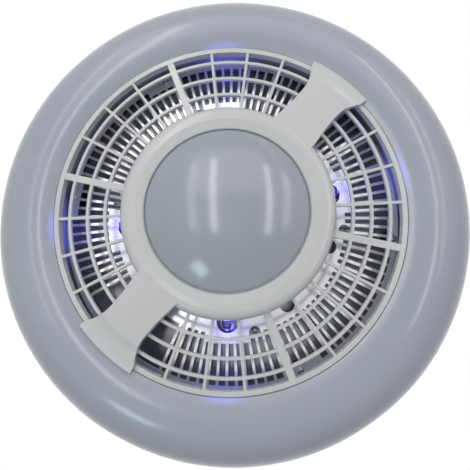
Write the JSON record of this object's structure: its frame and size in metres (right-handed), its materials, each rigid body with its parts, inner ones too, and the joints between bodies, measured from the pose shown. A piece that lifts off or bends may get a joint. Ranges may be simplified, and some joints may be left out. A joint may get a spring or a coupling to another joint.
{
  "type": "insect killer light bulb",
  "caption": "Round ceiling bulb with a screw cap, an opal light ring, and a violet-lit insect-killing chamber behind a twist-off white guard.",
  "frame": {"origin": "centre of the centre contact's end face, on the cap's axis", "axes": "+Z along the cap's axis towards the lampholder, +X to the right in the picture, so the light faces -Z"},
  "size_m": [0.242, 0.242, 0.1214],
  "materials": {
    "contact_metal": "tinned round contact",
    "cap_insulator": "black moulded insulator",
    "cap_shell": "nickel-plated rolled shell",
    "white_housing": "fine satin white ABS",
    "opal_ring": "satin opal polycarbonate",
    "frosted_wall": "frosted clear acrylic",
    "black_tray": "black flame-retardant ABS",
    "electrode_plate": "bright stamped steel",
    "mirror_plate": "polished steel",
    "post_plastic": "black nylon",
    "screw_steel": "zinc-plated steel",
    "hub_plastic": "dark moulded ABS",
    "violet_lamp": "clear epoxy with a violet die",
    "circuit_board": "white solder mask",
    "driver_board": "green solder mask",
    "light_chip": "phosphor window in a white body",
    "guard_plastic": "fine satin white ABS",
    "centre_opal": "glossy opal polycarbonate",
    "ferrite": "sintered ferrite",
    "coil_tape": "yellow polyester tape",
    "can_sleeve": "shrink sleeve",
    "film_case": "dipped epoxy",
    "chip_case": "moulded epoxy",
    "potting": "black potting compound",
    "fuse_body": "lacquered ceramic"
  },
  "bodies": {
    "bulb": {"centre_contact": "contact_metal", "cap_insulator": "cap_insulator", "screw_shell": "cap_shell", "rear_housing": "white_housing", "driver_board": "driver_board", "transformer_core": "ferrite", "transformer_coil": "coil_tape", "smoothing_capacitor": "can_sleeve", "film_capacitor": "film_case", "bridge_rectifier": "chip_case", "voltage_multiplier": "potting", "fuse_resistor": "fuse_body", "chamber_tray": "black_tray", "ring_led_board": "circuit_board", "ring_leds": "light_chip", "ring_diffuser": "opal_ring", "chamber_wall": "frosted_wall", "rear_electrode": "mirror_plate", "front_electrode": "electrode_plate", "insulator_post_1": "post_plastic", "insulator_post_2": "post_plastic", "insulator_post_3": "post_plastic", "insulator_post_4": "post_plastic", "hub_post": "hub_plastic", "uv_led_board": "circuit_board", "uv_led_1": "violet_lamp", "uv_led_2": "violet_lamp", "uv_led_3": "violet_lamp", "uv_led_4": "violet_lamp", "centre_led_board": "circuit_board", "centre_leds": "light_chip", "centre_lens": "centre_opal", "electrode_screws": "screw_steel", "housing_screws": "screw_steel", "board_screws": "screw_steel"},
    "guard": {"front_guard": "guard_plastic"}
  },
  "joints": [
    {"name": "guard_turn", "type": "hinge", "parent": "bulb", "child": "guard", "pos_m": [0, 0, -0.105], "axis": [0, 0, -1], "range_deg": [0, 18]}
  ]
}
